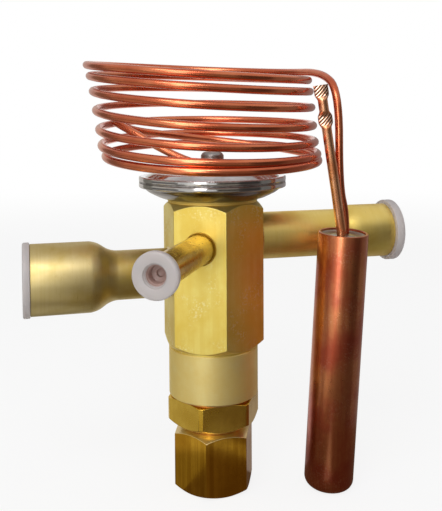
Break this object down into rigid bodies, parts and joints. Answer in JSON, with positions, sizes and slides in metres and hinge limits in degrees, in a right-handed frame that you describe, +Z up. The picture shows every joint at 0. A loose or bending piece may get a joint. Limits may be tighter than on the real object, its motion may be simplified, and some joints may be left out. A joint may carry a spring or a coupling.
{
  "type": "thermostatic expansion valve",
  "caption": "Brass expansion valve with fixed orifice, steel power element, coiled copper capillary with bulb, and plugged copper solder stubs.",
  "frame": {"origin": "on the valve axis at the seal cap's flat resting face", "axes": "+Z up the valve axis to the power element, +X along the inlet stub, -X along the outlet stub"},
  "size_m": [0.102, 0.0833, 0.1158],
  "materials": {
    "body_brass": "satin",
    "outlet_copper": "satin",
    "inlet_copper": "satin",
    "equaliser_copper": "satin",
    "outlet_plug_plastic": "translucent",
    "inlet_plug_plastic": "translucent",
    "equaliser_plug_plastic": "translucent",
    "housing_steel": "satin",
    "diaphragm_steel": "satin",
    "cover_steel": "satin",
    "thrust_plate_brass": "satin",
    "rod_steel": "satin",
    "packing_rubber": "matt",
    "washer_steel": "satin",
    "cone_steel": "satin",
    "guide_brass": "satin",
    "spring_steel": "satin",
    "spring_seat_brass": "satin",
    "spindle_brass": "satin",
    "ring_rubber": "matt",
    "collar_brass": "satin",
    "gasket_copper": "satin",
    "cap_gasket_copper": "satin",
    "cap_brass": "satin",
    "boss_steel": "satin",
    "capillary_copper": "satin",
    "bulb_copper": "satin",
    "bulb_disc_copper": "satin",
    "charge_tube_copper": "satin"
  },
  "bodies": {
    "valve": {"valve_body": "body_brass", "outlet_tube": "outlet_copper", "inlet_tube": "inlet_copper", "equaliser_tube": "equaliser_copper", "lower_housing": "housing_steel", "diaphragm": "diaphragm_steel", "upper_cover": "cover_steel", "packing_ring": "packing_rubber", "packing_washer": "washer_steel", "superheat_spring": "spring_steel", "spindle_housing": "collar_brass", "housing_gasket": "gasket_copper", "capillary_boss": "boss_steel", "capillary_tube": "capillary_copper", "bulb_shell": "bulb_copper", "bulb_disc": "bulb_disc_copper", "charge_tube": "charge_tube_copper"},
    "stem": {"push_rod": "rod_steel", "valve_cone": "cone_steel", "spring_guide": "guide_brass", "thrust_plate": "thrust_plate_brass"},
    "spring_seat": {"spring_seat": "spring_seat_brass"},
    "setting_spindle": {"setting_spindle": "spindle_brass", "spindle_ring": "ring_rubber"},
    "cap_gasket": {"cap_gasket": "cap_gasket_copper"},
    "seal_cap": {"seal_cap": "cap_brass"},
    "outlet_plug": {"outlet_plug": "outlet_plug_plastic"},
    "inlet_plug": {"inlet_plug": "inlet_plug_plastic"},
    "equaliser_plug": {"equaliser_plug": "equaliser_plug_plastic"}
  },
  "joints": [
    {"name": "stem_stroke", "type": "slide", "parent": "valve", "child": "stem", "axis": [0, 0, -1], "range_m": [0, 0.001], "stiffness_N_per_m": 400, "springref_m": -0.002, "deforming": ["superheat_spring"]},
    {"name": "spindle_turn", "type": "hinge", "parent": "valve", "child": "setting_spindle", "pos_m": [0, 0, 0.02], "axis": [0, 0, 1], "range_deg": [-903, 903]},
    {"name": "seat_travel", "type": "slide", "parent": "valve", "child": "spring_seat", "axis": [0, 0, 1], "range_m": [-0.0025, 0.0025], "deforming": ["superheat_spring"]},
    {"name": "cap_travel", "type": "slide", "parent": "valve", "child": "cap_gasket", "axis": [0, 0, -1], "range_m": [0, 0.01201]},
    {"name": "cap_turn", "type": "hinge", "parent": "cap_gasket", "child": "seal_cap", "pos_m": [0, 0, 0.008], "axis": [0, 0, -1], "range_deg": [0, 4320]},
    {"name": "outlet_plug_pull", "type": "slide", "parent": "valve", "child": "outlet_plug", "axis": [-1, 0, 0], "range_m": [0, 0.014]},
    {"name": "inlet_plug_pull", "type": "slide", "parent": "valve", "child": "inlet_plug", "axis": [1, 0, 0], "range_m": [0, 0.013]},
    {"name": "equaliser_plug_pull", "type": "slide", "parent": "valve", "child": "equaliser_plug", "axis": [-0.5, -0.866, 0], "range_m": [0, 0.011]}
  ],
  "couplings": [
    {"joint": "spindle_turn", "follows": "seat_travel", "rad_per_m": -6283.2},
    {"joint": "cap_travel", "follows": "cap_turn", "m_per_rad": 0.00015915}
  ]
}
